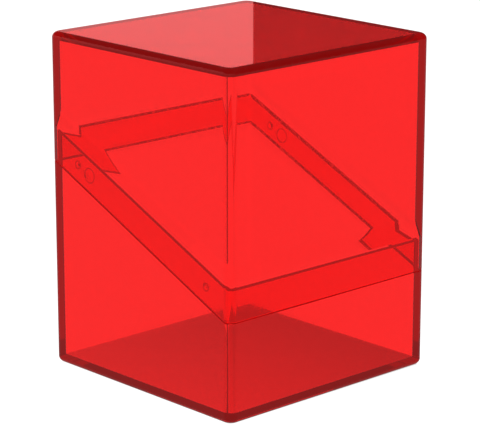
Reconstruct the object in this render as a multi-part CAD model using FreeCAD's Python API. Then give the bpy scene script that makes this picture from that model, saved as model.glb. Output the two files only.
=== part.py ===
import FreeCAD, Part
import os

# Card deck box in clear tinted plastic, in two moulded pieces: a base with a thin raised
# collar, and a lid whose thin lip slips down over that collar.  They meet on a slanted seam,
# low at the front (-Y) and high at the back (+Y).
#
# Frame: millimetres, +Z up, origin at the centre of the underside, +X to the right of
# somebody who faces the front.  The box is symmetric about X = 0.

Vector = FreeCAD.Vector

# ---------------------------------------------------------------- driving sizes
# Room for about a hundred sleeved cards of 66 x 91 mm standing upright.
box_width = 78.5                # outside, along X
box_depth = 77.0                # outside, along Y
box_height = 100.0              # outside, along Z

wall = 3.0                      # side walls of both pieces
floor_thickness = 2.6           # of the base
roof_thickness = 2.6            # of the lid

upright_edge_radius = 2.8       # outer upright edges
rim_edge_radius = 1.8           # outer edges round the roof and round the underside
cavity_edge_radius = 0.6        # inner edges of the card space

# The seam is level through most of the front wall, level through most of the back wall, and
# slants evenly between them along the two sides.
seam_height_front = 29.3
seam_height_rear = 61.8
seam_level_inset = 2.25         # from the outer face to where the slant begins

# The wall is shared between the two pieces where they overlap.
lip_thickness = 1.15            # thin lip of the lid, outside
collar_gap = 0.35               # air between the lip and the collar
collar_height = 9.0             # collar above the seam
collar_edge_radius = 0.2        # rounding of the collar's top edges
collar_headroom = 1.3           # lip carries on this far above the collar
lead_in_height = 4.45           # over this height the lid's wall grows from lip to full wall

# Friction nubs on the two sides of the collar, and a round ejector mark beside the rear one.
nub_diameter = 2.3
nub_clearance = 0.05            # between a nub and the lip
nub_from_front = 10.7           # centre to the outer face of the front wall
nub_from_rear = 11.5            # centre to the outer face of the back wall
mark_diameter = 4.3
mark_depth = 0.1
mark_from_rear = 16.6
edge_slope = 0.25               # a nub or a mark is this much wider at the collar's face

# ---------------------------------------------------------------- worked-out sizes
half_width = box_width / 2
half_depth = box_depth / 2
slant_start = seam_level_inset - half_depth
slant_end = half_depth - seam_level_inset
seam_slope = (seam_height_rear - seam_height_front) / (slant_end - slant_start)
collar_inset = lip_thickness + collar_gap       # outer face of the box to the collar
headroom_level = collar_height + collar_headroom
lead_in_top = headroom_level + lead_in_height
nub_height = collar_gap - nub_clearance
reach = box_width + box_depth + box_height      # longer than the box in every direction


def seam_z(y, above=0.0):
    """Height of the seam at y, or of the surface that lies `above` it."""
    within = min(max(y, slant_start), slant_end)
    return seam_height_front + seam_slope * (within - slant_start) + above


def room_below_seam(above=0.0):
    """Everything below the surface that runs along with the seam, `above` mm over it."""
    corners = [Vector(-reach, y, z) for y, z in (
        (-reach, -3 * reach),
        (reach, -3 * reach),
        (reach, seam_z(reach, above)),
        (slant_end, seam_z(slant_end, above)),
        (slant_start, seam_z(slant_start, above)),
        (-reach, seam_z(-reach, above)),
    )]
    section = Part.Face(Part.makePolygon(corners + corners[:1]))
    return section.extrude(Vector(2 * reach, 0, 0))


def edges_along(shape, direction):
    """The straight edges of a shape that run along a direction."""
    found = []
    for edge in shape.Edges:
        run = edge.Vertexes[-1].Point - edge.Vertexes[0].Point
        if run.Length > 0 and run.cross(direction).Length < 1e-6 * run.Length:
            found.append(edge)
    return found


def upright_prism(inset, edge_radius, low, high):
    """A block `inset` inside the box's four sides, with rounded upright edges."""
    block = Part.makeBox(
        box_width - 2 * inset,
        box_depth - 2 * inset,
        high - low,
        Vector(inset - half_width, inset - half_depth, low),
    )
    return block.makeFillet(edge_radius, edges_along(block, Vector(0, 0, 1)))


def rim_edges(prism, low, high):
    """The edges round the underside and the top of an upright prism."""
    found = []
    for edge in prism.Edges:
        heights = [vertex.Z for vertex in edge.Vertexes]
        if max(heights) - min(heights) < 1e-6 and (
            abs(heights[0] - low) < 1e-6 or abs(heights[0] - high) < 1e-6
        ):
            found.append(edge)
    return found


def outer_block():
    """The whole box as if it were solid, with all its outer edges rounded."""
    prism = upright_prism(0, upright_edge_radius, 0, box_height)
    return prism.makeFillet(rim_edge_radius, rim_edges(prism, 0, box_height))


def card_space():
    """The room inside the closed box."""
    low, high = floor_thickness, box_height - roof_thickness
    return upright_prism(wall, cavity_edge_radius, low, high)


def lead_in_section(level):
    """Outline of the room that one lead-in leaves, as (inwards, up) pairs.

    Inwards is measured from the box's outer face and up from z = 0; `level` is where the
    lead-in begins there.  Below that the room reaches out to the lip, above it the room's
    edge leans inwards, at the rate that brings it to the full wall at the lead-in's top.
    """
    rate = (wall - lip_thickness) / lead_in_height
    top = level + reach
    return [
        (-reach, -3 * reach),
        (3 * reach, -3 * reach),
        (3 * reach, top),
        (lip_thickness + rate * reach, top),
        (lip_thickness, level),
        (-reach, level),
    ]


def room_inside_lead_in():
    """Everything inside all four lead-ins."""
    starts = [seam_z(y, headroom_level) for y in (-reach, reach)]
    rooms = []
    for side, level in ((-1, starts[0]), (1, starts[1])):
        points = [
            Vector(-reach, side * (half_depth - inwards), up)
            for inwards, up in lead_in_section(level)
        ]
        section = Part.Face(Part.makePolygon(points + points[:1]))
        rooms.append(section.extrude(Vector(2 * reach, 0, 0)))
    for side in (-1, 1):
        parts = []
        for y, run in (
            (-reach, Vector(0, slant_start + reach, 0)),
            (slant_start, Vector(0, slant_end - slant_start, starts[1] - starts[0])),
            (slant_end, Vector(0, reach - slant_end, 0)),
        ):
            points = [
                Vector(side * (half_width - inwards), y, up)
                for inwards, up in lead_in_section(seam_z(y, headroom_level))
            ]
            section = Part.Face(Part.makePolygon(points + points[:1]))
            parts.append(section.extrude(run))
        rooms.append(parts[0].fuse(parts[1:]))
    inside = rooms[0]
    for room in rooms[1:]:
        inside = inside.common(room)
    return inside


def side_disc(side, y, start_radius, end_radius, start, end):
    """A round tapered disc on a side of the collar at mid height.

    side is -1 or +1 along X; start and end are distances outwards from the collar's face.
    """
    face = half_width - collar_inset
    centre = Vector(side * (face + start), y, seam_z(y, collar_height / 2))
    return Part.makeCone(start_radius, end_radius, end - start, centre, Vector(side, 0, 0))


def collar_top_edges(shape, inset_from):
    """The edges of the collar's top faces that lie further in than `inset_from`.

    The folds between the level and the slanting top faces are left out.
    """
    found = []
    for edge in shape.Edges:
        points = [vertex.Point for vertex in edge.Vertexes]
        on_top = all(abs(p.z - seam_z(p.y, collar_height)) < 1e-4 for p in points)
        on_fold = all(abs(abs(p.y) - slant_end) < 1e-4 for p in points)
        inset = min(min(half_width - abs(p.x), half_depth - abs(p.y)) for p in points)
        if on_top and not on_fold and inset > inset_from:
            found.append(edge)
    return found


def make_collar():
    """The thin raised ring inside the lid's lip, rounded along its top."""
    block = upright_prism(
        collar_inset, upright_edge_radius - collar_inset, floor_thickness, box_height
    )
    block = block.common(room_below_seam(collar_height)).removeSplitter()
    block = block.makeFillet(collar_edge_radius, collar_top_edges(block, 0))
    ring = block.cut(card_space())
    middle_of_ring = (collar_inset + wall) / 2
    return ring.makeFillet(collar_edge_radius, collar_top_edges(ring, middle_of_ring))


def make_base():
    """Floor, lower walls and the collar that the lid slips over."""
    lower = outer_block().common(room_below_seam())
    shape = lower.fuse(make_collar()).cut(card_space()).removeSplitter()

    nub_radius = nub_diameter / 2
    mark_radius = mark_diameter / 2
    for side in (-1, 1):
        for y in (nub_from_front - half_depth, half_depth - nub_from_rear):
            nub = side_disc(
                side, y, nub_radius + edge_slope, nub_radius - edge_slope,
                -nub_height, nub_height,
            )
            shape = shape.fuse(nub)
        mark = side_disc(
            side, half_depth - mark_from_rear, mark_radius - edge_slope, mark_radius,
            -mark_depth, 0,
        )
        shape = shape.cut(mark)
    return shape.removeSplitter()


def make_lid():
    """Roof, upper walls and the thin lip that goes down outside the collar."""
    lip_block = upright_prism(
        lip_thickness, upright_edge_radius - lip_thickness, -box_height, 2 * box_height
    )
    collar_room = lip_block.common(room_below_seam(lead_in_top)).common(room_inside_lead_in())
    upper = outer_block().cut(room_below_seam())
    shape = upper.cut(card_space()).cut(collar_room)
    return shape.removeSplitter()


pieces = {"base": make_base(), "lid": make_lid()}

os.makedirs("parts", exist_ok=True)
for name, shape in pieces.items():
    solid = shape.Solids[0]
    solid.exportStep(f"parts/{name}.step")
    box = solid.BoundBox
    print(
        f"{name}: {len(shape.Solids)} solid, valid {solid.isValid()},"
        f" {solid.Volume / 1000:.2f} cm3,"
        f" X {box.XMin:.2f} to {box.XMax:.2f}, Y {box.YMin:.2f} to {box.YMax:.2f},"
        f" Z {box.ZMin:.2f} to {box.ZMax:.2f}"
    )

overlap = pieces["base"].common(pieces["lid"]).Volume
print(f"overlap of the two pieces when closed: {overlap:.4f} mm3")
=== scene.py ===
# %% [markdown]
# # A card deck box in clear red plastic
#
# The box is two thin mouldings: a base with a raised collar, and a lid whose lip slips down
# outside that collar. Everything that makes it look right happens inside the plastic, so the
# lesson is mostly about two things: building a wall of exactly the right thickness, and
# letting light bend, bounce and lose its blue and green on the way through it.
#
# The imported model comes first. It fixes where the box stands and how large it is.

import bpy
import numpy as np
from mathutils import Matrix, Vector


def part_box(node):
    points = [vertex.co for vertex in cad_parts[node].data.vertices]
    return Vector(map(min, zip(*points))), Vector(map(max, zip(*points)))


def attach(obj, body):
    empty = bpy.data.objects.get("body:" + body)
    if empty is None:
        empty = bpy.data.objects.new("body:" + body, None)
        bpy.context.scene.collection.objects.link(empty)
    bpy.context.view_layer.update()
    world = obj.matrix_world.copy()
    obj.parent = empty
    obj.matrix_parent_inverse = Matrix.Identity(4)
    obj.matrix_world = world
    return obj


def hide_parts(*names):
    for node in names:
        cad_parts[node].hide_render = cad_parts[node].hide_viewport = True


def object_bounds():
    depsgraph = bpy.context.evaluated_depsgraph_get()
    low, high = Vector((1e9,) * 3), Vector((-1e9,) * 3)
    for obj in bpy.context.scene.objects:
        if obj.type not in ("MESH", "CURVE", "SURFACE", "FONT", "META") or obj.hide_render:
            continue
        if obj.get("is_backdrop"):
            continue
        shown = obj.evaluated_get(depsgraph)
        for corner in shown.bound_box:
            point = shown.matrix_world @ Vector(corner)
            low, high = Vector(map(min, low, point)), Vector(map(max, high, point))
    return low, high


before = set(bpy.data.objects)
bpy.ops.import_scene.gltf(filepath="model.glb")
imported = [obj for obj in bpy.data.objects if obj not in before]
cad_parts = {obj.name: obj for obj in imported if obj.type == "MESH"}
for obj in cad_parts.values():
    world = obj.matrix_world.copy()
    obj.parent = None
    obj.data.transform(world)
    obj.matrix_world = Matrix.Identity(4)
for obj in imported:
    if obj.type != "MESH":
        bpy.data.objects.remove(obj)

MM = 0.001
cad_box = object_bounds()
lid_low, lid_high = (np.array(corner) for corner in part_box("lid"))
print("CAD box, mm:", np.round(np.array([list(corner) for corner in cad_box]) / MM, 2).tolist())


# %% [markdown]
# ## The sizes of the two walls
#
# The outside of the box is read from the frame. The sizes within a wall can't be read from a
# box, so they are stated here once, as they are in the design: a 3 mm wall that the two
# pieces share where they overlap. A few small slopes and rounded edges come on top, because
# a moulding has no perfectly square corner, and in clear plastic each one shows as a line.

# %% Sizes
half_width = lid_high[0]
half_depth = lid_high[1]
top_height = lid_high[2]

wall = 3.0 * MM
floor_thickness = 2.6 * MM
roof_thickness = 2.6 * MM
corner_radius = 2.8 * MM
rim_radius = 1.8 * MM
cavity_radius = 0.6 * MM

lip_thickness = 1.15 * MM
collar_gap = 0.35 * MM
collar_height = 9.0 * MM
collar_headroom = 1.3 * MM
lead_in_height = 4.45 * MM
lead_in_radius = 6.4 * MM
collar_inset = lip_thickness + collar_gap
headroom_level = collar_height + collar_headroom
lead_in_top = headroom_level + lead_in_height

small_edge = 0.12 * MM          # rounding of the edges inside the wall
collar_edge = 0.2 * MM          # and of the collar's top
seam_edge = 0.20 * MM           # and of the outer edges at the seam
collar_dip = 0.15 * MM          # how much lower the collar's top is on the inside
ledge_dip = 0.3 * MM            # and the ledge under the lip
seam_air = 0.14 * MM            # between the ledge and the lip's end

print(f"wall {wall / MM:.1f} mm: collar {(wall - collar_inset) / MM:.2f},"
      f" gap {collar_gap / MM:.2f}, lip {lip_thickness / MM:.2f}")


# %% [markdown]
# ## The slanted seam
#
# The seam is level at the front and at the back and slants evenly along the sides, so a
# height on it depends only on how far back a point is. Where level meets slant the change is
# spread over about a millimetre, so the wall's normals turn there without a jump.

# %% The seam
seam_front = lid_low[2]
seam_rear = 61.8 * MM
level_inset = 2.25 * MM         # from the outer face to where the slant begins
seam_bend = 0.6 * MM
slant_end = half_depth - level_inset
seam_slope = (seam_rear - seam_front) / (2 * slant_end)


def seam_height(y):
    """Height of the seam: level, then slope times distance back, then level again.

    Each change of slope is spread over twice the bend, so within it the height is a
    quadratic: slope * bend * u^2, with u from 0 to 1 across the bend.
    """
    height = seam_front
    for start, sign in ((-slant_end, 1), (slant_end, -1)):
        u = np.clip((y - start + seam_bend) / (2 * seam_bend), 0, 1)
        run = seam_bend * u ** 2 + np.maximum(y - start - seam_bend, 0)
        height = height + sign * seam_slope * run
    return height


def seam_rise(y):
    """How fast the seam climbs at y: the slope of seam_height."""
    u_front = np.clip((y + slant_end + seam_bend) / (2 * seam_bend), 0, 1)
    u_rear = np.clip((y - slant_end + seam_bend) / (2 * seam_bend), 0, 1)
    return seam_slope * (u_front - u_rear)


print(f"seam from {seam_front / MM:.1f} to {seam_rear / MM:.1f} mm,"
      f" slope {np.degrees(np.arctan(seam_slope)):.1f} degrees")


# %% [markdown]
# ## Nubs and marks
#
# Each side of the collar has two small friction nubs, which stand out towards the lip, and
# one shallow round mark, such as an ejector leaves in a moulding. They are listed by their
# place along the side before anything is built, because the mesh has to be finer round them.

# %% Nubs and marks
nub_radius = 1.15 * MM
nub_height = 0.30 * MM
nub_edge = 0.95 * MM            # how wide the nub's rounded rim is
front_nub_inset = 10.7 * MM     # from the outer face of the front wall
rear_nub_inset = 11.5 * MM      # from the outer face of the back wall

mark_radius = 2.15 * MM
mark_depth = 0.10 * MM
mark_edge = 0.35 * MM
mark_inset = 16.6 * MM          # from the outer face of the back wall

reliefs = [
    # y, radius, height, width of the rounded rim
    (-half_depth + front_nub_inset, nub_radius, nub_height, nub_edge),
    (half_depth - rear_nub_inset, nub_radius, nub_height, nub_edge),
    (half_depth - mark_inset, mark_radius, -mark_depth, mark_edge),
]
print(f"{len(reliefs)} reliefs on each side of the collar,"
      f" nubs {nub_height / MM:.2f} mm high in a gap of {collar_gap / MM:.2f} mm")


# %% [markdown]
# ## The way round the box
#
# Both pieces are one wall profile carried round a rectangle with rounded corners. The way
# round is stored without any size in it: for each step, which way the corner lies and the
# direction that the outline faces. Any inset and any corner radius then give their own
# outline from the same steps. The steps are close together where the sides carry a nub or
# a mark, because those are shaped by moving the steps' own points.

# %% The way round
corner_steps = 14
side_steps = 13
front_steps = 9
relief_spacing = 0.07 * MM
relief_margin = 0.35 * MM
same_place = 1e-4               # steps closer than this share of a side count as one


def side_places():
    """Places along one side, from -1 to 1: coarse, and close together at each relief."""
    reach = half_depth - corner_radius
    places = [np.linspace(-reach, reach, side_steps)]
    for y, radius, _, _ in reliefs:
        span = radius + relief_margin
        places.append(np.linspace(y - span, y + span, int(2 * span / relief_spacing)))
    places = np.unique(np.round(np.concatenate(places) / reach, 6))
    return places[np.concatenate([[True], np.diff(places) > same_place])]


def way_round():
    """Steps round a rounded rectangle: corner share along x and y, and facing angle.

    On a corner both shares stay at 1 or -1 while the angle turns by a quarter; on a side the
    angle stays and one share runs from corner to corner.
    """
    quarter = np.linspace(0, np.pi / 2, corner_steps + 1)
    short = np.linspace(-1, 1, front_steps)[1:-1]
    long = side_places()[1:-1]
    steps = []
    signs = [(1, 1), (-1, 1), (-1, -1), (1, -1)]
    for turn, (sign_x, sign_y) in enumerate(signs):
        angle = quarter + turn * np.pi / 2
        steps.append([np.full_like(angle, sign_x), np.full_like(angle, sign_y), angle])
        along = long if turn % 2 else short
        run = -along if turn in (0, 1) else along
        still = np.full_like(run, 1.0)
        facing = still * (turn + 1) * np.pi / 2
        if turn % 2 == 0:
            steps.append([run, still * sign_y, facing])
        else:
            steps.append([still * sign_x, run, facing])
    return np.concatenate(steps, axis=1)


share_x, share_y, facing = way_round()
print("steps round the box:", share_x.size)


# %% [markdown]
# ## A wall profile with softened corners
#
# A profile is a short list of corners. Each has an inset from the outside of the box, the
# outline's own corner radius, a height, and a share of the seam: 0 for heights measured from
# the table and 1 for heights measured from the slanted seam. The last number is its softness:
# the radius of the small arc that replaces it. A large arc gets more points than a small one.

# %% Rounding a profile
fine_turn = 9                   # degrees between the points of an arc of more than 1 mm
coarse_turn = 18                # and of a smaller one


def corner_arc(corner, back, ahead, size):
    """Points and tangents of the arc of radius `size` that replaces one corner.

    The arc is a rational quadratic curve through the two tangent points with the corner as
    its control point, weighted by the cosine of half the turn, which makes it a true arc.
    """
    flat_back, flat_ahead = back[[0, 2]], ahead[[0, 2]]
    length_back, length_ahead = np.linalg.norm(flat_back), np.linalg.norm(flat_ahead)
    cosine = flat_back @ flat_ahead / (length_back * length_ahead)
    half_turn = (np.pi - np.arccos(np.clip(cosine, -1, 1))) / 2
    reach = size * np.tan(half_turn)
    start = corner + back * reach / length_back
    end = corner + ahead * reach / length_ahead
    turn_step = fine_turn if size > MM else coarse_turn
    count = max(2, int(np.ceil(np.degrees(2 * half_turn) / turn_step)))
    u = np.linspace(0, 1, count + 1)[:, None]
    weight = np.cos(half_turn)
    b0, b1, b2 = (1 - u) ** 2, 2 * weight * u * (1 - u), u ** 2
    total = b0 + b1 + b2
    arc = (b0 * start + b1 * corner + b2 * end) / total
    slope0, slope1, slope2 = -2 * (1 - u), 2 * weight * (1 - 2 * u), 2 * u
    rate = slope0 + slope1 + slope2
    direction = (slope0 * start + slope1 * corner + slope2 * end - arc * rate) / total
    return arc, direction


def rounded_profile(corners):
    """Points and tangents of a profile, as two arrays of (inset, radius, height, share)."""
    places = np.array([corner[:4] for corner in corners], float)
    softness = [corner[4] for corner in corners]
    points = [places[0]]
    tangents = [places[1] - places[0]]
    for index in range(1, len(places) - 1):
        corner, size = places[index], softness[index]
        back, ahead = places[index - 1] - corner, places[index + 1] - corner
        if size == 0:
            points.append(corner)
            tangents.append(ahead if np.linalg.norm(ahead[[0, 2]]) else -back)
        else:
            arc, direction = corner_arc(corner, back, ahead, size)
            points.extend(arc)
            tangents.extend(direction)
    points.append(places[-1])
    tangents.append(places[-1] - places[-2])
    return np.array(points), np.array(tangents)


trial_profile = [
    (0, corner_radius, 0, 0, 0),
    (0, corner_radius, 5 * MM, 0, rim_radius),
    (5 * MM, corner_radius, 5 * MM, 0, 0),
]
print("points on a trial profile with one soft corner:", len(rounded_profile(trial_profile)[0]))


# %% [markdown]
# ## Carrying the profile round
#
# Inset, radius and height of every profile point meet every step of the way round in one
# array sum, so the whole wall is worked out at once. The same sum, differentiated, gives the
# two directions of the surface, and their cross product is its exact normal. Exact normals
# matter here: on clear plastic a normal that is off by a degree moves everything behind it.

# %% The carried surface
def carried_wall(corners):
    """The wall's points and normals, as (profile point, step, xyz) arrays.

    x = share_x * (half width - inset - radius) + radius * cos(facing), y likewise with sine,
    z = height + share * (seam height at y).
    """
    points, tangents = rounded_profile(corners)
    inset, radius, height, seam_share = (column[:, None] for column in points.T)
    d_inset, d_radius, d_height, d_share = (column[:, None] for column in tangents.T)
    cos, sin = np.cos(facing)[None], np.sin(facing)[None]
    x = share_x * (half_width - inset - radius) + radius * cos
    y = share_y * (half_depth - inset - radius) + radius * sin
    z = height + seam_share * seam_height(y)
    along = np.stack([
        -share_x * (d_inset + d_radius) + d_radius * cos,
        -share_y * (d_inset + d_radius) + d_radius * sin,
        d_height + d_share * seam_height(y) + 0 * x,
    ], axis=-1)
    climb = seam_share * seam_rise(y)
    along[..., 2] += climb * along[..., 1]
    around = np.stack([-sin + 0 * x, cos + 0 * x, climb * cos], axis=-1)
    normal = np.cross(around, along)
    normal /= np.linalg.norm(normal, axis=-1, keepdims=True)
    return np.stack([x, y, z], axis=-1), normal


trial_rows, trial_steps = carried_wall(trial_profile)[0].shape[:2]
print("trial wall:", trial_rows, "profile points by", trial_steps, "steps")


# %% [markdown]
# ## From a grid to a closed mesh
#
# The grid becomes quads, and one flat face closes it at each end of the profile: the middle
# of the floor or the roof, outside and inside. The exact normals go in as custom normals, so
# Blender shades with them and not with an average of the neighbouring faces.

# %% Closed shells
def closed_shell(name, points, normals):
    """A mesh from the wall's grid, closed by one flat face at each end of the profile."""
    rows, steps = points.shape[:2]
    index = np.arange(rows * steps).reshape(rows, steps)
    after = np.roll(index, -1, axis=1)
    quads = np.stack([index[:-1], after[:-1], after[1:], index[1:]], axis=-1).reshape(-1, 4)
    first, last = index[0][::-1], index[-1]
    faces = quads.tolist() + [first.tolist(), last.tolist()]
    mesh = bpy.data.meshes.new(name)
    mesh.from_pydata(points.reshape(-1, 3), [], faces)
    mesh.polygons.foreach_set("use_smooth", np.ones(len(mesh.polygons), bool))
    mesh.normals_split_custom_set_from_vertices(normals.reshape(-1, 3))
    mesh.update()
    piece = bpy.data.objects.new(name, mesh)
    bpy.context.scene.collection.objects.link(piece)
    print(f"{name}: {len(mesh.vertices)} vertices, {len(mesh.polygons)} faces,"
          f" valid {not mesh.validate(verbose=False)}")
    return piece


print("quads that the trial wall would have:", (trial_rows - 1) * trial_steps)


# %% [markdown]
# ## Shaping the nubs and marks
#
# The nubs and marks are part of the collar's outer face, not pieces laid on it, so the face's
# own points are moved. The profile gets close rows there, as the way round got close steps.

# %% Reliefs
on_sides = np.isclose(np.abs(np.cos(facing)), 1)
same_inset = 1e-7
least_distance = 1e-12          # keeps the division safe at a relief's very centre


def with_relief_rows(profile, first, last):
    """The profile with close rows between two of its corners, for the nubs and marks."""
    low, high = np.array(profile[first]), np.array(profile[last])
    count = int((high[2] - low[2]) / relief_spacing)
    share = np.linspace(0, 1, count + 1)[1:-1, None]
    rows = [tuple(row) for row in low + (high - low) * share]
    return profile[:first + 1] + rows + profile[last:]


def relief_rows(points):
    """The rows of the collar's outer face: their points all stand at the collar's inset."""
    inset = half_width - np.abs(points[:, on_sides, 0])
    rows = np.flatnonzero(np.isclose(inset, collar_inset, atol=same_inset).all(axis=1))
    return slice(rows[0], rows[-1] + 1)


def relief(points, normals, rows):
    """Raises the nubs and sinks the marks on the two sides of the collar, in the given rows.

    A relief's centre is at mid height of the collar. The distance from it goes through a
    smooth step that is 1 inside the rim and 0 outside; the point moves outwards by that
    times the height, and the normal leans by the slope of the same step.
    """
    block, lean = points[rows], normals[rows]
    outwards = np.sign(share_x)
    for y, radius, height, edge in reliefs:
        z = seam_height(y) + collar_height / 2
        dy, dz = block[..., 1] - y, block[..., 2] - z
        distance = np.sqrt(dy ** 2 + dz ** 2) + least_distance
        t = np.clip((radius - distance) / edge, 0, 1)
        step = t * t * (3 - 2 * t) * height * on_sides
        slope = 6 * t * (1 - t) / edge * height * on_sides
        block[..., 0] += outwards * step
        lean[..., 1] += slope * dy / distance
        lean[..., 2] += slope * dz / distance
    lean /= np.linalg.norm(lean, axis=-1, keepdims=True)
    points[rows], normals[rows] = block, lean


print("steps that face left or right:", np.count_nonzero(on_sides))


# %% [markdown]
# ## The base
#
# From the middle of the underside the profile runs out to the rim, up the outer wall to the
# seam, in along the ledge that the lid rests on, up and over the collar, down the inside and
# in again across the floor. The points without softness stand a few millimetres away from
# the arcs, so that the long faces between them stay flat.

# %% Base
collar_radius = corner_radius - collar_inset
shoulder_edge = collar_edge * 0.6       # the collar's outer top edge is the tighter one
base_profile = [
    # inset, outline radius, height, seam share, softness
    (rim_radius + 3 * MM, 1.0 * MM, 0, 0, 0),
    (rim_radius + 1 * MM, 1.0 * MM, 0, 0, 0),
    (0, corner_radius, 0, 0, rim_radius),
    (0, corner_radius, 4 * MM, 0, 0),
    (0, corner_radius, -2 * MM, 1, 0),
    (0, corner_radius, 0, 1, seam_edge),
    (collar_inset, collar_radius, -ledge_dip, 1, small_edge),
    (collar_inset, collar_radius, 1 * MM, 1, 0),
    (collar_inset, collar_radius, collar_height - 1 * MM, 1, 0),
    (collar_inset, collar_radius, collar_height, 1, shoulder_edge),
    (wall, cavity_radius, collar_height - collar_dip, 1, collar_edge),
    (wall, cavity_radius, collar_height - 2 * MM, 1, 0),
    (wall, cavity_radius, floor_thickness + 2 * MM, 0, 0),
    (wall, cavity_radius, floor_thickness, 0, small_edge),
    (wall + 2 * MM, cavity_radius, floor_thickness, 0, 0),
]
collar_foot, collar_shoulder = 7, 8     # the corners that bound the collar's outer face

base_points, base_normals = carried_wall(
    with_relief_rows(base_profile, collar_foot, collar_shoulder)
)
collar_rows = relief_rows(base_points)
relief(base_points, base_normals, collar_rows)
print("rows on the collar's outer face:", collar_rows.stop - collar_rows.start)
base_shell = closed_shell("base_shell", base_points, base_normals)


# %% [markdown]
# ## The lid
#
# The lid's profile starts at the middle of the roof. Its wall is full thickness down to the
# lead-in, a wedge that thins it to the lip, and the lip ends in the edge that sits on the
# base's ledge with a hair of air between them.

# %% Lid
lip_radius = corner_radius - lip_thickness
lip_share = 0.75                # of the ledge's slope, since the lip is narrower than it
lip_end = seam_air - ledge_dip * lip_share
ceiling = top_height - roof_thickness
lid_profile = [
    # inset, outline radius, height, seam share, softness
    (wall + 2 * MM, cavity_radius, ceiling, 0, 0),
    (wall, cavity_radius, ceiling, 0, small_edge),
    (wall, cavity_radius, ceiling - 2 * MM, 0, 0),
    (wall, cavity_radius, lead_in_top + 2 * MM, 1, 0),
    (wall, cavity_radius, lead_in_top, 1, lead_in_radius),
    (lip_thickness, lip_radius, headroom_level, 1, small_edge),
    (lip_thickness, lip_radius, lip_end, 1, small_edge),
    (0, corner_radius, seam_air, 1, seam_edge),
    (0, corner_radius, 2 * MM, 1, 0),
    (0, corner_radius, top_height - 4 * MM, 0, 0),
    (0, corner_radius, top_height, 0, rim_radius),
    (rim_radius + 1 * MM, 1.0 * MM, top_height, 0, 0),
    (rim_radius + 3 * MM, 1.0 * MM, top_height, 0, 0),
]
lid_points, lid_normals = carried_wall(lid_profile)
lid_shell = closed_shell("lid_shell", lid_points, lid_normals)


# %% [markdown]
# ## Small sums in node trees
#
# Materials and surroundings both need a little arithmetic on positions and colours. Each of
# these helpers adds one kind of node and gives back its result, so that a node tree can be
# read as a formula. The last one tells apart the ways that light came: Blender counts how
# often it was mirrored and how often it went through a surface.

# %% Node helpers
mirrored_once = 0.5             # counts are whole, so the limits lie halfway between them
mirrored_twice = 1.5
through_three_surfaces = 2.5


def calculate(tree, operation, *values):
    """One maths node; each value is a number or a socket."""
    node = tree.nodes.new("ShaderNodeMath")
    node.operation = operation
    for socket, value in zip(node.inputs, values):
        if isinstance(value, (int, float)):
            socket.default_value = value
        else:
            tree.links.new(value, socket)
    return node.outputs[0]


def smooth_ramp(tree, value, start, end):
    """0 at start and 1 at end, with a smooth step between them."""
    node = tree.nodes.new("ShaderNodeMapRange")
    node.interpolation_type = "SMOOTHSTEP"
    tree.links.new(value, node.inputs["Value"])
    node.inputs["From Min"].default_value = start
    node.inputs["From Max"].default_value = end
    return node.outputs["Result"]


def colour_mix(tree, factor, first, second):
    """A colour that goes from the first to the second; each is a colour or a socket."""
    mix = tree.nodes.new("ShaderNodeMix")
    mix.data_type = "RGBA"
    tree.links.new(factor, mix.inputs["Factor"])
    for socket, colour in (("A", first), ("B", second)):
        if isinstance(colour, tuple):
            mix.inputs[socket].default_value = (*colour, 1)
        else:
            tree.links.new(colour, mix.inputs[socket])
    return mix.outputs["Result"]


def depth_beyond(tree, depth, limit):
    """1 where light has been through more than `limit` events of one kind on its way."""
    path = tree.nodes.new("ShaderNodeLightPath")
    return calculate(tree, "GREATER_THAN", path.outputs[depth], limit)


print("node helpers: calculate, smooth_ramp, colour_mix, depth_beyond")


# %% [markdown]
# ## Hairlines
#
# Signs of use are shared as node groups that only hand out masks. They read positions in
# metres in the piece's own coordinates, so they travel with the lid. The first is the fine
# hairlines that come from sliding in and out of a bag: noise that is stretched a long way one
# way and very little the other, drawn where it crosses one value.

# %% Hairline group
hairline_value = 0.62
hairline_sets = [
    # lean, scale along a line, scale across it, half the width in noise value
    (0.35, 60.0, 1500.0, 0.012),
    (-1.1, 40.0, 1100.0, 0.009),
]


def effect_group(name):
    """An empty node group with a vector input and a mask output, and its split position."""
    group = bpy.data.node_groups.new(name, "ShaderNodeTree")
    group.interface.new_socket("Vector", in_out="INPUT", socket_type="NodeSocketVector")
    group.interface.new_socket("Mask", in_out="OUTPUT", socket_type="NodeSocketFloat")
    start = group.nodes.new("NodeGroupInput")
    end = group.nodes.new("NodeGroupOutput")
    split = group.nodes.new("ShaderNodeSeparateXYZ")
    group.links.new(start.outputs["Vector"], split.inputs[0])
    return group, split.outputs, end.inputs["Mask"]


def noise(tree, vector, scale, detail):
    """Blender's noise at a position, as a value from 0 to 1."""
    node = tree.nodes.new("ShaderNodeTexNoise")
    tree.links.new(vector, node.inputs["Vector"])
    node.inputs["Scale"].default_value = scale
    node.inputs["Detail"].default_value = detail
    return node.outputs["Fac"]


def hairlines():
    """Long thin lines at two angles, where stretched noise crosses one value."""
    tree, place, mask = effect_group("hairlines")
    across = calculate(tree, "ADD", place["X"], place["Y"])
    total = None
    for lean, run, width, reach in hairline_sets:
        along = calculate(tree, "MULTIPLY_ADD", place["Z"], lean, across)
        over = calculate(tree, "MULTIPLY_ADD", across, -lean, place["Z"])
        stretched = tree.nodes.new("ShaderNodeCombineXYZ")
        tree.links.new(calculate(tree, "MULTIPLY", along, run), stretched.inputs[0])
        tree.links.new(calculate(tree, "MULTIPLY", over, width), stretched.inputs[1])
        level = noise(tree, stretched.outputs[0], 1.0, 1.0)
        off = calculate(tree, "ABSOLUTE", calculate(tree, "SUBTRACT", level, hairline_value))
        line = smooth_ramp(tree, off, reach, 0.0)
        total = line if total is None else calculate(tree, "MAXIMUM", total, line)
    tree.links.new(total, mask)
    return tree


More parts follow.
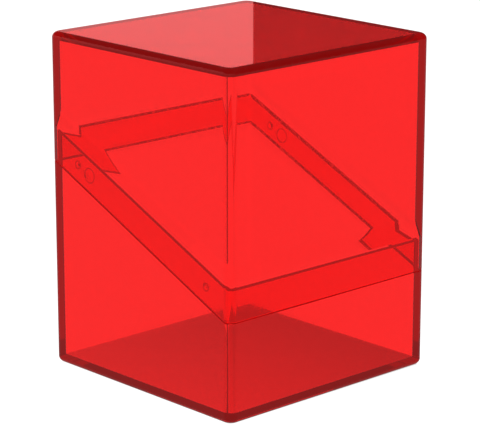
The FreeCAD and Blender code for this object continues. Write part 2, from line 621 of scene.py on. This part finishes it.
effects = {"hairlines": hairlines()}
print("effect group:", effects["hairlines"].name)


# %% [markdown]
# ## Worn edges
#
# A box rubs where two of its outside faces meet. Being near one pair of faces is the product
# of two ramps, the three pairs are added up, and noise breaks the result into patches.

# %% Edge wear group
wear_reach = 1.8 * MM
patch_scale = 420.0
patch_detail = 4.0
patch_from, patch_to = 0.42, 0.66       # noise values between which a patch fades in


def edge_wear():
    """1 on the outer edges, where two of the box's outside faces meet, broken up by noise."""
    tree, place, mask = effect_group("edge_wear")
    side = calculate(tree, "ABSOLUTE", place["X"])
    face = calculate(tree, "ABSOLUTE", place["Y"])
    level = calculate(tree, "ABSOLUTE", calculate(tree, "SUBTRACT", place["Z"], top_height / 2))
    sides = smooth_ramp(tree, side, half_width - wear_reach, half_width)
    faces = smooth_ramp(tree, face, half_depth - wear_reach, half_depth)
    levels = smooth_ramp(tree, level, top_height / 2 - wear_reach, top_height / 2)
    pairs = calculate(tree, "MULTIPLY", sides, faces)
    pairs = calculate(tree, "MULTIPLY_ADD", faces, levels, pairs)
    pairs = calculate(tree, "MULTIPLY_ADD", sides, levels, pairs)
    join = tree.nodes.new("ShaderNodeCombineXYZ")
    for axis in range(3):
        tree.links.new(place[axis], join.inputs[axis])
    grain = noise(tree, join.outputs[0], patch_scale, patch_detail)
    patches = smooth_ramp(tree, grain, patch_from, patch_to)
    tree.links.new(calculate(tree, "MULTIPLY", pairs, patches), mask)
    return tree


effects["edge_wear"] = edge_wear()
print(f"worn edges reach {wear_reach / MM:.1f} mm in from each edge")


# %% [markdown]
# ## Painted shade round the nubs and marks
#
# The sloped rim of each nub and mark shows as a fine dark line, and that shade is painted here.
# It is only a mask for a darker tint: a ring of the right radius, on the collar's outer face
# and nowhere else.

# %% Painted rim shade group
ring_width = 0.34 * MM
ring_fade_out = 0.08 * MM               # how far the ring fades outside its edge
ring_fade_in = 0.04 * MM                # and inside it
ring_skin = (0.33 * MM, 0.31 * MM)      # outwards from the collar's face, where rings end
ring_depth = (0.5 * MM, 0.4 * MM)       # and inwards


def painted_rim_shade():
    """A line of painted shade round every nub and mark on the collar's outer face.

    The distance from a centre is measured in the plane of the side: along is how far back a
    point is from the centre, and up how far above it.
    """
    tree, place, mask = effect_group("painted_rim_shade")
    side = calculate(tree, "ABSOLUTE", place["X"])
    collar_face = half_width - collar_inset
    outer = smooth_ramp(tree, side, collar_face + ring_skin[0], collar_face + ring_skin[1])
    inner = smooth_ramp(tree, side, collar_face - ring_depth[0], collar_face - ring_depth[1])
    rise = calculate(tree, "MULTIPLY_ADD", place["Y"], -seam_slope, place["Z"])
    rise = calculate(tree, "SUBTRACT", rise, seam_height(0) + collar_height / 2)
    total = None
    for y, radius, _, _ in reliefs:
        along = calculate(tree, "SUBTRACT", place["Y"], y)
        up = calculate(tree, "MULTIPLY_ADD", along, seam_slope, rise)
        length = calculate(tree, "MULTIPLY", along, along)
        length = calculate(tree, "SQRT", calculate(tree, "MULTIPLY_ADD", up, up, length))
        off = calculate(tree, "ABSOLUTE", calculate(tree, "SUBTRACT", length, radius))
        faint, full = ring_width / 2 + ring_fade_out, ring_width / 2 - ring_fade_in
        ring = smooth_ramp(tree, off, faint, full)
        total = ring if total is None else calculate(tree, "MAXIMUM", total, ring)
    total = calculate(tree, "MULTIPLY", total, outer)
    tree.links.new(calculate(tree, "MULTIPLY", total, inner), mask)
    return tree


effects["painted_rim_shade"] = painted_rim_shade()
print("effect groups:", ", ".join(effects))


# %% [markdown]
# ## Clear red plastic: what passes through
#
# Plastic that is coloured right through isn't red on its surface alone: light also loses
# green and blue on its way inside. Here each surface tints what passes through it, so that
# two walls behind each other are a deeper red than one, and a thin absorbing volume makes
# the long way along inside a wall, where light is trapped, darker still. Polished clear
# plastic hides nothing, so the wear on it is slight: the hairlines and worn edges are a
# little rougher, and the worn edges a little paler, than the rest.

# %% Polished surface and volume
surface_tint = (1.0, 0.135, 0.135)
worn_tint = (1.0, 0.30, 0.30)
# painted shade: the dark line that the sloped rim of each nub and mark shows
rim_shade_tint = (0.42, 0.02, 0.02)
refractive_index = 1.5
hairline_roughness = 0.07
wear_roughness = 0.12
scratch_strength = 0.12
scratch_depth = 0.01 * MM
absorbed_per_mm = np.array([0.0004, 0.05, 0.05])


def polished_surface(tree, place):
    """The see-through surface, with tint, roughness and scratches from the masks."""
    surface = tree.nodes.new("ShaderNodeBsdfPrincipled")
    surface.inputs["Transmission Weight"].default_value = 1
    surface.inputs["IOR"].default_value = refractive_index
    masks = {}
    for name, group in effects.items():
        node = tree.nodes.new("ShaderNodeGroup")
        node.node_tree = group
        tree.links.new(place, node.inputs["Vector"])
        masks[name] = node.outputs["Mask"]
    colour = colour_mix(tree, masks["edge_wear"], surface_tint, worn_tint)
    # the rims of the nubs and marks get painted shade, a darker tint
    colour = colour_mix(tree, masks["painted_rim_shade"], colour, rim_shade_tint)
    tree.links.new(colour, surface.inputs["Base Color"])
    rough = calculate(tree, "MULTIPLY", masks["hairlines"], hairline_roughness)
    rough = calculate(tree, "MULTIPLY_ADD", masks["edge_wear"], wear_roughness, rough)
    tree.links.new(rough, surface.inputs["Roughness"])
    bump = tree.nodes.new("ShaderNodeBump")
    bump.inputs["Strength"].default_value = scratch_strength
    bump.inputs["Distance"].default_value = scratch_depth
    tree.links.new(calculate(tree, "MULTIPLY", masks["hairlines"], -1.0), bump.inputs["Height"])
    tree.links.new(bump.outputs[0], surface.inputs["Normal"])
    return surface.outputs["BSDF"]


def absorbing_volume(tree):
    """Absorption: its density is the strongest of the three, its colour scales the others."""
    volume = tree.nodes.new("ShaderNodeVolumeAbsorption")
    strongest = absorbed_per_mm.max()
    volume.inputs["Color"].default_value = (*(1 - absorbed_per_mm / strongest), 1)
    volume.inputs["Density"].default_value = strongest / MM
    return volume.outputs["Volume"]


print("share of red, green and blue left after 10 mm of plastic:",
      np.round(np.exp(-10 * absorbed_per_mm), 2).tolist())


# %% [markdown]
# ## Clear red plastic: what stays inside
#
# The edges of a clear box look dark because light that gets in there is turned back inside
# the wall again and again. Following it to its end would take hundreds of bounces, so once it
# has been mirrored twice it is given a painted dim red glow in place of a path with no end.
# The painted glow is brighter behind the first wall, and dimmest in the slabs of roof and floor.

# %% Trapped light and the whole material
# painted glow in place of light trapped in a wall: brighter behind the first wall, dimmer in the
# roof and floor slabs
trapped_glow = (0.36, 0.012, 0.012)
trapped_inside = (0.46, 0.004, 0.004)
slab_glow = (0.235, 0.014, 0.014)
slab_from, slab_to = 4 * MM, 3 * MM     # from the top or the underside of the box


def in_slabs(tree, place):
    """1 in the roof and in the floor of the box, 0 in its walls."""
    split = tree.nodes.new("ShaderNodeSeparateXYZ")
    tree.links.new(place, split.inputs[0])
    level = calculate(tree, "SUBTRACT", split.outputs["Z"], top_height / 2)
    level = calculate(tree, "ABSOLUTE", level)
    return smooth_ramp(tree, level, top_height / 2 - slab_from, top_height / 2 - slab_to)


def trapped_light(tree, place):
    """A painted glow in place of the light that a wall keeps inside."""
    trapped = tree.nodes.new("ShaderNodeEmission")
    deeper = depth_beyond(tree, "Transmission Depth", through_three_surfaces)
    glow = colour_mix(tree, deeper, trapped_glow, trapped_inside)
    glow = colour_mix(tree, in_slabs(tree, place), glow, slab_glow)
    tree.links.new(glow, trapped.inputs["Color"])
    return trapped.outputs[0]


def clear_red_plastic():
    """The polished surface, or the glow where light is trapped, over the absorbing volume."""
    material = bpy.data.materials.new("clear_red_plastic")
    material.use_nodes = True
    material.cycles.emission_sampling = "NONE"
    tree = material.node_tree
    tree.nodes.clear()
    place = tree.nodes.new("ShaderNodeTexCoord").outputs["Object"]
    either = tree.nodes.new("ShaderNodeMixShader")
    tree.links.new(depth_beyond(tree, "Glossy Depth", mirrored_twice), either.inputs["Fac"])
    tree.links.new(polished_surface(tree, place), either.inputs[1])
    tree.links.new(trapped_light(tree, place), either.inputs[2])
    output = tree.nodes.new("ShaderNodeOutputMaterial")
    tree.links.new(either.outputs[0], output.inputs["Surface"])
    tree.links.new(absorbing_volume(tree), output.inputs["Volume"])
    return material


plastic = clear_red_plastic()
for piece, body in ((base_shell, "base"), (lid_shell, "lid")):
    piece.data.materials.append(plastic)
    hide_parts(body)
    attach(piece, body)
print(f"{plastic.name}: {len(plastic.node_tree.nodes)} nodes, on both shells")


# %% [markdown]
# ## The floor
#
# A clear box shows mostly what stands behind it. The floor glows evenly, as a lit white sweep
# does. It is dimmer in the box's shade, and dimmer again where polished faces mirror it. The
# shade is painted by a formula, since a floor that glows by itself receives no shadow.

# %% Floor
sweep_glow = 1.16
mirrored_floor = 0.22
caught_glow = (0.34, 0.012, 0.012)      # in place of light that a wall caught on its way
floor_reach = 4.0
floor_drop = 0.2 * MM
shade_from, shade_to = 0.5 * MM, 2 * MM         # inwards from the outside of the box
shade_in_middle = 0.35
shade_per_metre = 3.9


def shaded_floor(tree):
    """The floor's own glow: even all round, and dimmer in the box's shade.

    Shade is 1 well inside the footprint and 0 outside it; how deep it is grows from left
    to right: 0.35 + 3.9 x, in metres.
    """
    place = tree.nodes.new("ShaderNodeTexCoord")
    split = tree.nodes.new("ShaderNodeSeparateXYZ")
    tree.links.new(place.outputs["Object"], split.inputs[0])
    inside = []
    for axis, half in (("X", half_width), ("Y", half_depth)):
        away = calculate(tree, "ABSOLUTE", split.outputs[axis])
        inside.append(smooth_ramp(tree, away, half - shade_from, half - shade_to))
    depth = calculate(tree, "MULTIPLY_ADD", split.outputs["X"], shade_per_metre, shade_in_middle)
    shade = calculate(tree, "MULTIPLY", calculate(tree, "MULTIPLY", *inside), depth)
    return calculate(tree, "MULTIPLY", calculate(tree, "SUBTRACT", 1.0, shade), sweep_glow)


def build_floor():
    """A plain pale floor that glows evenly and is dimmer where polished faces mirror it."""
    mesh = bpy.data.meshes.new("floor")
    signs = ((-1, -1), (1, -1), (1, 1), (-1, 1))
    corners = [(x * floor_reach, y * floor_reach, -floor_drop) for x, y in signs]
    mesh.from_pydata(corners, [], [(0, 1, 2, 3)])
    floor = bpy.data.objects.new("floor", mesh)
    bpy.context.scene.collection.objects.link(floor)
    material = bpy.data.materials.new("pale_floor")
    material.use_nodes = True
    tree = material.node_tree
    tree.nodes.clear()
    output = tree.nodes.new("ShaderNodeOutputMaterial")
    glow = tree.nodes.new("ShaderNodeEmission")
    lit = shaded_floor(tree)
    mirrored = depth_beyond(tree, "Glossy Depth", mirrored_once)
    caught = depth_beyond(tree, "Glossy Depth", mirrored_twice)
    colour = colour_mix(tree, mirrored, lit, (mirrored_floor,) * 3)
    colour = colour_mix(tree, caught, colour, caught_glow)
    tree.links.new(colour, glow.inputs["Color"])
    tree.links.new(glow.outputs[0], output.inputs["Surface"])
    mesh.materials.append(material)
    floor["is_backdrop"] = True


build_floor()
print(f"floor: {2 * floor_reach:.0f} m across, {floor_drop / MM:.1f} mm below the box")


# %% [markdown]
# ## The surroundings
#
# Seen straight, or through the plastic, the surroundings are the same even white as the floor.
# What polished faces mirror is kept darker, because that is what gives them form: a bright
# card from the left round to the back, and a dark room to the right of it.

# %% Surroundings
card_colour = (0.85, 0.33, 0.33)
dark_room = (0.03, 0.03, 0.03)
inner_room = (0.46, 0.008, 0.008)       # in place of both, for faces inside the box
card_edge_angle = np.radians(43.33)
card_top_angle = np.radians(20)


def build_surroundings():
    """A bright card from the left round to the back, and a dark room to the right of it."""
    world = bpy.data.worlds.new("studio")
    bpy.context.scene.world = world
    world.use_nodes = True
    tree = world.node_tree
    tree.nodes.clear()
    output = tree.nodes.new("ShaderNodeOutputWorld")
    background = tree.nodes.new("ShaderNodeBackground")
    place = tree.nodes.new("ShaderNodeTexCoord")
    split = tree.nodes.new("ShaderNodeSeparateXYZ")
    tree.links.new(place.outputs["Generated"], split.inputs[0])
    angle = calculate(tree, "ARCTAN2", split.outputs["X"], split.outputs["Y"])
    left = calculate(tree, "LESS_THAN", angle, card_edge_angle)
    low = calculate(tree, "LESS_THAN", split.outputs["Z"], np.sin(card_top_angle))
    on_card = calculate(tree, "MULTIPLY", left, low)
    inside = depth_beyond(tree, "Transmission Depth", through_three_surfaces)
    mirrored = depth_beyond(tree, "Glossy Depth", mirrored_once)
    caught = depth_beyond(tree, "Glossy Depth", mirrored_twice)
    room = colour_mix(tree, on_card, dark_room, card_colour)
    room = colour_mix(tree, inside, room, inner_room)
    room = colour_mix(tree, caught, room, caught_glow)
    colour = colour_mix(tree, mirrored, (sweep_glow,) * 3, room)
    tree.links.new(colour, background.inputs["Color"])
    tree.links.new(background.outputs[0], output.inputs["Surface"])


build_surroundings()
print("surroundings:", bpy.context.scene.world.name)


# %% [markdown]
# ## The camera
#
# A long lens from a little above, looking at the upright edge between the front and the left
# side. Light crosses many surfaces on its way out of two clear mouldings, so it is allowed
# far more bounces than in a scene without them.

# %% Camera
view_angle = np.radians(42.994)         # from straight back, to the right
view_drop = np.radians(15.167)
view_distance = 652.10 * MM
aim = Vector((-10.158 * MM, -11.299 * MM, top_height / 2))
most_bounces = 48

camera_data = bpy.data.cameras.new("camera")
camera_data.lens = 170.86
camera_data.sensor_width = 36
camera_data.clip_start = 0.01
camera = bpy.data.objects.new("camera", camera_data)
bpy.context.scene.collection.objects.link(camera)
direction = Vector((
    np.sin(view_angle) * np.cos(view_drop),
    np.cos(view_angle) * np.cos(view_drop),
    -np.sin(view_drop),
))
camera.location = aim - direction * view_distance
camera.rotation_euler = direction.to_track_quat("-Z", "Y").to_euler()
bpy.context.scene.camera = camera
bpy.context.scene.view_settings.view_transform = "Standard"

cycles = bpy.context.scene.cycles
cycles.max_bounces = most_bounces
cycles.transmission_bounces = most_bounces
cycles.glossy_bounces = most_bounces
print("camera at, mm:", [round(value / MM) for value in camera.location])


# %% [markdown]
# ## The size of the finished model
#
# The shells have to stay inside the box that the design fills. The largest difference
# between the two boxes is printed, so that they can be compared.

# %% Size of the finished model
visual_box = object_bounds()
apart = max(abs(a - b) for pair in zip(visual_box, cad_box) for a, b in zip(*pair))
print(f"largest difference between the two boxes: {apart / MM:.3f} mm")
